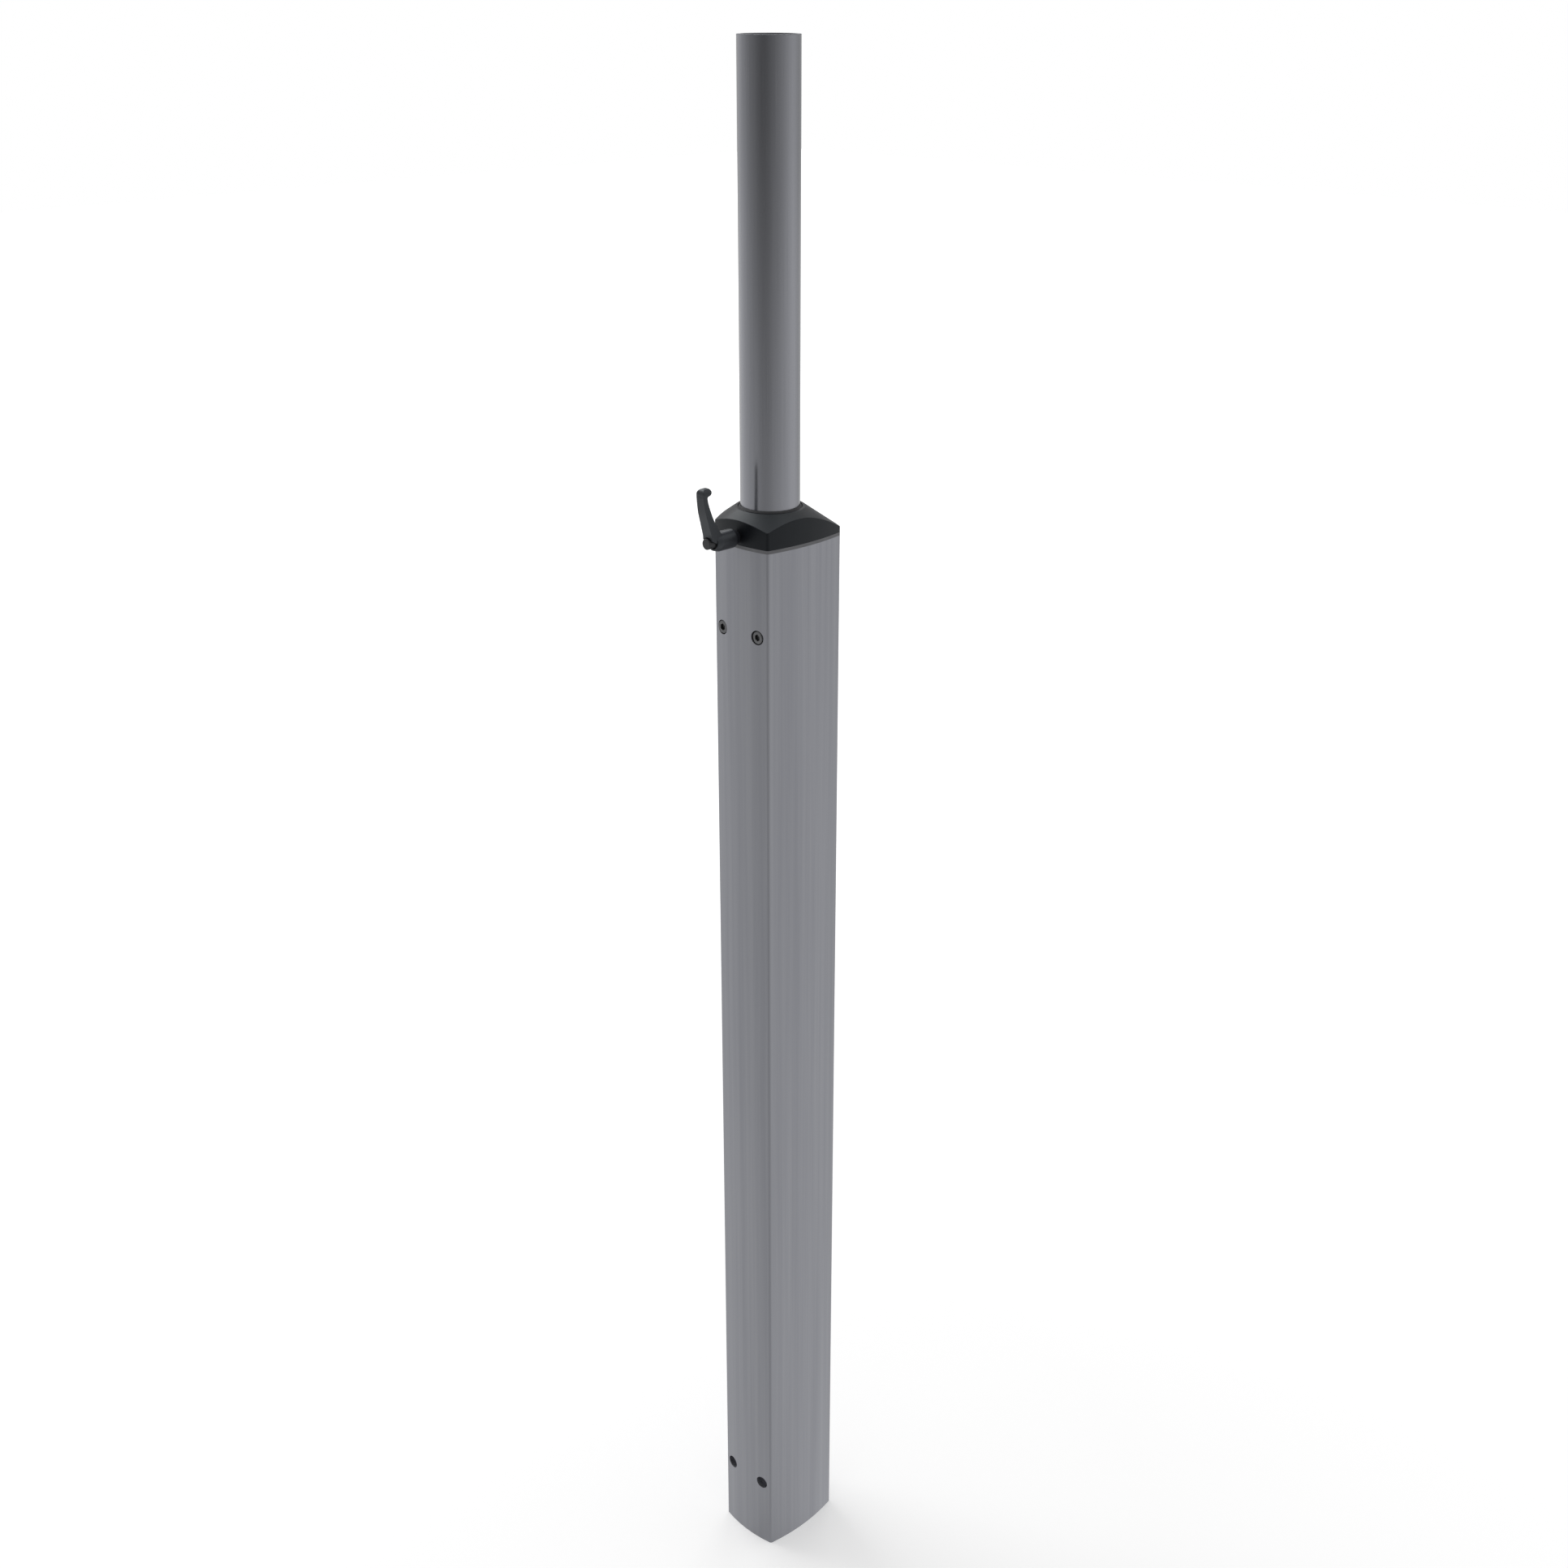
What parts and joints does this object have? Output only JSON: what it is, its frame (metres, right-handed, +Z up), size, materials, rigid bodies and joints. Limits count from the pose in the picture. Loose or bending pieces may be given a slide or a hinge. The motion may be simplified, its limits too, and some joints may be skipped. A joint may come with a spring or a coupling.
{
  "type": "lifting pedestal",
  "caption": "Height-adjustable pedestal: extruded column with convex sides, sliding round tube, black cone-topped head with a clamping lever.",
  "frame": {"origin": "on the lift tube's axis, at the level of the column's lower end", "axes": "+Z up along the lift tube, -Y towards the face with the clamping lever, +X to the right seen from that face"},
  "size_m": [0.0728, 0.1347, 1.4404],
  "materials": {
    "brushed_column": "brushed lengthwise and anodised",
    "cast_foot": "cast, machined underneath",
    "black_screws": "blackened steel",
    "seal_grey": "smooth, grey",
    "black_head": "black satin powder coat",
    "wiper_rubber": "dull",
    "bush_plastic": "off-white, smooth",
    "satin_tube": "satin anodised",
    "shoe_plastic": "black, smooth",
    "bright_steel": "bright zinc",
    "spring_black": "black gloss paint",
    "chromed_rod": "ground and chromed",
    "pad_brass": "turned",
    "lever_black": "black satin powder coat over a zinc casting",
    "button_black": "black, smooth"
  },
  "bodies": {
    "column": {"column_profile": "brushed_column", "foot_block": "cast_foot", "foot_screws": "black_screws", "head_seal": "seal_grey", "clamp_head": "black_head", "head_screws": "black_screws", "wiper_ring": "wiper_rubber", "upper_bush": "bush_plastic", "lower_bush": "bush_plastic", "stop_buffer": "wiper_rubber", "spring_rod": "chromed_rod", "spring_piston": "bright_steel", "spring_foot_eye": "bright_steel", "spring_foot_pin": "bright_steel", "foot_pin_clip": "bright_steel"},
    "mast": {"lift_tube": "satin_tube", "guide_shoe": "shoe_plastic", "tube_pin": "bright_steel", "spring_top_pin": "bright_steel", "top_pin_clip": "bright_steel", "spring_cylinder": "spring_black", "spring_gland": "bright_steel", "spring_top_eye": "bright_steel"},
    "clamp_pad": {"clamp_pad": "pad_brass"},
    "clamp_screw": {"clamp_stud": "bright_steel", "lever_insert": "bright_steel", "lever_screw": "bright_steel", "lever_button": "button_black", "lever_spring": "bright_steel"},
    "lever": {"lever_handle": "lever_black"}
  },
  "joints": [
    {"name": "tube_lift", "type": "slide", "parent": "column", "child": "mast", "axis": [0, 0, 1], "range_m": [-0.35, 0]},
    {"name": "clamp_feed", "type": "slide", "parent": "column", "child": "clamp_pad", "axis": [0, -1, 0], "range_m": [0, 0.00025]},
    {"name": "clamp_turn", "type": "hinge", "parent": "clamp_pad", "child": "clamp_screw", "pos_m": [0, -0.036, 1.054], "axis": [0, -1, 0], "range_deg": [0, 90]},
    {"name": "handle_lift", "type": "slide", "parent": "clamp_screw", "child": "lever", "axis": [0, -1, 0], "range_m": [0, 0.004], "stiffness_N_per_m": 800, "springref_m": -0.003, "deforming": ["lever_spring"]}
  ],
  "couplings": [
    {"joint": "clamp_feed", "follows": "clamp_turn", "m_per_rad": 0.00015915}
  ]
}
